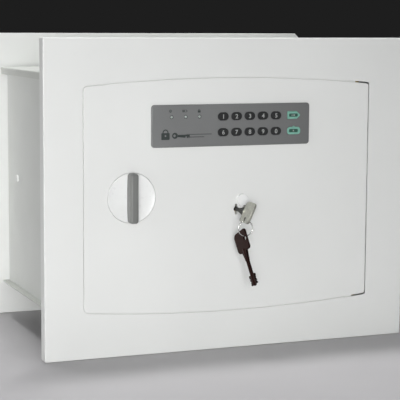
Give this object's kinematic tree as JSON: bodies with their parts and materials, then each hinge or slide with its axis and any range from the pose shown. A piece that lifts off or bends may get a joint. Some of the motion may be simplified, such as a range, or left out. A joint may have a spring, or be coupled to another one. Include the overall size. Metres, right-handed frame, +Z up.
{
  "type": "wall safe",
  "caption": "Recessed wall safe with front and rear flanges, a flush bowed door, keypad, turning knob, sliding bolts and a key lock holding its key.",
  "frame": {"origin": "under the middle of the whole part, on the floor plane", "axes": "+Z up, the door faces -Y, +X to the right seen from the front"},
  "size_m": [0.456, 0.354, 0.364],
  "materials": {
    "white_paint": "fine satin powder coat, off-white",
    "door_paint": "fine satin powder coat, off-white",
    "bare_steel": "zinc-plated steel, dull",
    "bolt_steel": "turned and nickel-plated",
    "brass": "turned",
    "cover_paint": "grey powder coat",
    "mat_felt": "needle felt",
    "white_plastic": "smooth white moulding",
    "grey_plastic": "satin grey moulding",
    "panel_grey": "satin grey film",
    "black_plastic": "matt",
    "key_black": "moulded key",
    "key_green": "moulded key",
    "mat_rubber": "silicone",
    "board_green": "printed circuit board",
    "battery_wrap": "plastic sleeve, plain",
    "led_clear": "clear lens",
    "copper_coil": "enamelled wire under tape",
    "cable_grey": "ribbon cable",
    "key_steel": "nickel-plated steel",
    "key_dark": "dark bronzed steel",
    "ring_steel": "spring wire"
  },
  "bodies": {
    "housing": {"body_wrap": "white_paint", "body_top_pan": "white_paint", "body_bottom_pan": "white_paint", "rear_plate": "white_paint", "front_plate": "white_paint", "strike_bar": "white_paint", "door_stops": "white_paint", "hinge_brackets": "white_paint", "floor_mat": "mat_felt", "side_plugs": "white_plastic"},
    "door": {"door_plate": "door_paint", "hinge_lugs": "door_paint", "hinge_pins": "bare_steel", "hinge_washers": "brass", "dog_bar": "door_paint", "bolt_guide": "bare_steel", "knob_bearing": "bare_steel", "door_cover": "cover_paint", "door_posts": "bare_steel", "cover_screws": "bare_steel", "battery_box": "black_plastic", "batteries": "battery_wrap", "control_board": "board_green", "board_parts": "black_plastic", "ribbon_cable": "cable_grey", "keypad_housing": "panel_grey", "keypad_mat": "mat_rubber", "keypad_board": "board_green", "led_lenses": "led_clear", "solenoid_frame": "bare_steel", "solenoid_coil": "copper_coil", "lock_case": "bare_steel", "flap_rivet": "bolt_steel"},
    "battery_lid": {"battery_lid": "black_plastic"},
    "knob": {"knob_dish": "white_plastic", "knob_grip": "grey_plastic", "knob_spindle": "bare_steel", "cam_disc": "bare_steel"},
    "bolt_work": {"bolt_carriage": "bare_steel", "locking_bolts": "bolt_steel", "bolt_clips": "bare_steel"},
    "plunger": {"solenoid_plunger": "bolt_steel"},
    "key": {"lock_plug": "brass", "lock_tail": "bare_steel", "lock_key": "key_steel"},
    "ring": {"key_ring": "ring_steel"},
    "spare": {"spare_key": "key_dark"},
    "flap": {"keyhole_flap": "white_plastic"},
    "digit_key_1": {"digit_key_1": "key_black"},
    "digit_key_2": {"digit_key_2": "key_black"},
    "digit_key_3": {"digit_key_3": "key_black"},
    "digit_key_4": {"digit_key_4": "key_black"},
    "digit_key_5": {"digit_key_5": "key_black"},
    "digit_key_6": {"digit_key_6": "key_black"},
    "digit_key_7": {"digit_key_7": "key_black"},
    "digit_key_8": {"digit_key_8": "key_black"},
    "digit_key_9": {"digit_key_9": "key_black"},
    "digit_key_0": {"digit_key_0": "key_black"},
    "enter_key": {"enter_key": "key_green"},
    "clear_key": {"clear_key": "key_green"}
  },
  "joints": [
    {"name": "door_hinge", "type": "hinge", "parent": "housing", "child": "door", "pos_m": [0.163, -0.10701, 0.181], "axis": [0, 0, 1], "range_deg": [0, 85]},
    {"name": "knob_turn", "type": "hinge", "parent": "door", "child": "knob", "pos_m": [-0.1215, -0.11601, 0.182], "axis": [0, 1, 0], "range_deg": [0, 90]},
    {"name": "bolt_slide", "type": "slide", "parent": "door", "child": "bolt_work", "axis": [-1, 0, 0], "range_m": [0, 0.01]},
    {"name": "plunger_slide", "type": "slide", "parent": "door", "child": "plunger", "axis": [0, 0, -1], "range_m": [0, 0.005]},
    {"name": "key_turn", "type": "hinge", "parent": "door", "child": "key", "pos_m": [0.0071, -0.11601, 0.164], "axis": [0, 1, 0], "range_deg": [-25, 65]},
    {"name": "ring_swing", "type": "hinge", "parent": "key", "child": "ring", "pos_m": [0.00351, -0.15177, 0.1563], "axis": [0.9063, 0, -0.4226], "range_deg": [-40, 12]},
    {"name": "spare_swing", "type": "hinge", "parent": "ring", "child": "spare", "pos_m": [0.00351, -0.15177, 0.13535], "axis": [0.9848, 0.1736, 0], "range_deg": [-30, 10]},
    {"name": "flap_swing", "type": "hinge", "parent": "door", "child": "flap", "pos_m": [0.0165, -0.11742, 0.166], "axis": [0, 1, 0], "range_deg": [0, 80]},
    {"name": "battery_lid_slide", "type": "slide", "parent": "door", "child": "battery_lid", "axis": [-1, 0, 0], "range_m": [0, 0.06]},
    {"name": "digit_key_1_press", "type": "slide", "parent": "door", "child": "digit_key_1", "axis": [0, 1, 0], "range_m": [0, 0.001], "stiffness_N_per_m": 300, "springref_m": -0.0005},
    {"name": "digit_key_2_press", "type": "slide", "parent": "door", "child": "digit_key_2", "axis": [0, 1, 0], "range_m": [0, 0.001], "stiffness_N_per_m": 300, "springref_m": -0.0005},
    {"name": "digit_key_3_press", "type": "slide", "parent": "door", "child": "digit_key_3", "axis": [0, 1, 0], "range_m": [0, 0.001], "stiffness_N_per_m": 300, "springref_m": -0.0005},
    {"name": "digit_key_4_press", "type": "slide", "parent": "door", "child": "digit_key_4", "axis": [0, 1, 0], "range_m": [0, 0.001], "stiffness_N_per_m": 300, "springref_m": -0.0005},
    {"name": "digit_key_5_press", "type": "slide", "parent": "door", "child": "digit_key_5", "axis": [0, 1, 0], "range_m": [0, 0.001], "stiffness_N_per_m": 300, "springref_m": -0.0005},
    {"name": "digit_key_6_press", "type": "slide", "parent": "door", "child": "digit_key_6", "axis": [0, 1, 0], "range_m": [0, 0.001], "stiffness_N_per_m": 300, "springref_m": -0.0005},
    {"name": "digit_key_7_press", "type": "slide", "parent": "door", "child": "digit_key_7", "axis": [0, 1, 0], "range_m": [0, 0.001], "stiffness_N_per_m": 300, "springref_m": -0.0005},
    {"name": "digit_key_8_press", "type": "slide", "parent": "door", "child": "digit_key_8", "axis": [0, 1, 0], "range_m": [0, 0.001], "stiffness_N_per_m": 300, "springref_m": -0.0005},
    {"name": "digit_key_9_press", "type": "slide", "parent": "door", "child": "digit_key_9", "axis": [0, 1, 0], "range_m": [0, 0.001], "stiffness_N_per_m": 300, "springref_m": -0.0005},
    {"name": "digit_key_0_press", "type": "slide", "parent": "door", "child": "digit_key_0", "axis": [0, 1, 0], "range_m": [0, 0.001], "stiffness_N_per_m": 300, "springref_m": -0.0005},
    {"name": "enter_key_press", "type": "slide", "parent": "door", "child": "enter_key", "axis": [0, 1, 0], "range_m": [0, 0.001], "stiffness_N_per_m": 300, "springref_m": -0.0005},
    {"name": "clear_key_press", "type": "slide", "parent": "door", "child": "clear_key", "axis": [0, 1, 0], "range_m": [0, 0.001], "stiffness_N_per_m": 300, "springref_m": -0.0005}
  ],
  "couplings": [
    {"joint": "bolt_slide", "follows": "knob_turn", "m_per_rad": 0.0063662}
  ]
}
